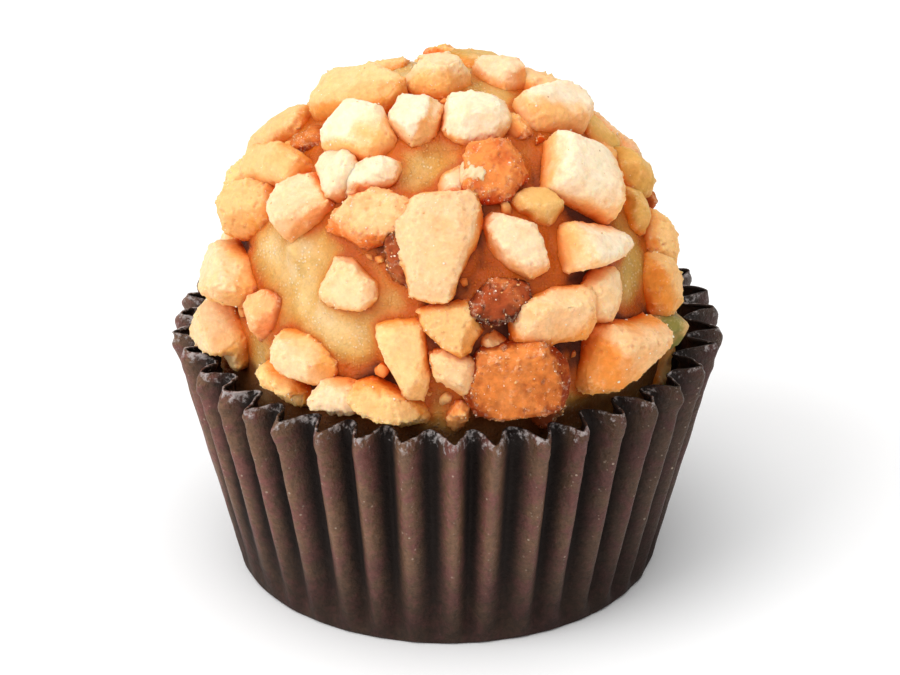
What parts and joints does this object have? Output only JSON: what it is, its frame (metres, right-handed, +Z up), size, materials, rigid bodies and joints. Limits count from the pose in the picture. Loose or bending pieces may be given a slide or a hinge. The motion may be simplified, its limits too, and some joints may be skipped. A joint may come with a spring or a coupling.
{
  "type": "nut-coated brigadeiro in a paper case",
  "caption": "Round soft sweet rolled in chopped roasted nuts, sitting in a small dark pleated paper case.",
  "frame": {"origin": "middle of the paper case's flat base, at the height of the surface it stands on", "axes": "+Z up, -Y towards the front, +X to the right of someone looking at the front"},
  "size_m": [0.0409, 0.0409, 0.0403],
  "materials": {
    "coated_sweet": "chopped roasted nuts, pale cream to toasted brown, on a satin caramel-beige sweet",
    "dark_paper": "dark brown greaseproof paper with a faint sheen"
  },
  "bodies": {
    "root": {"nut_coated_sweet": "coated_sweet", "paper_case": "dark_paper"}
  },
  "joints": []
}
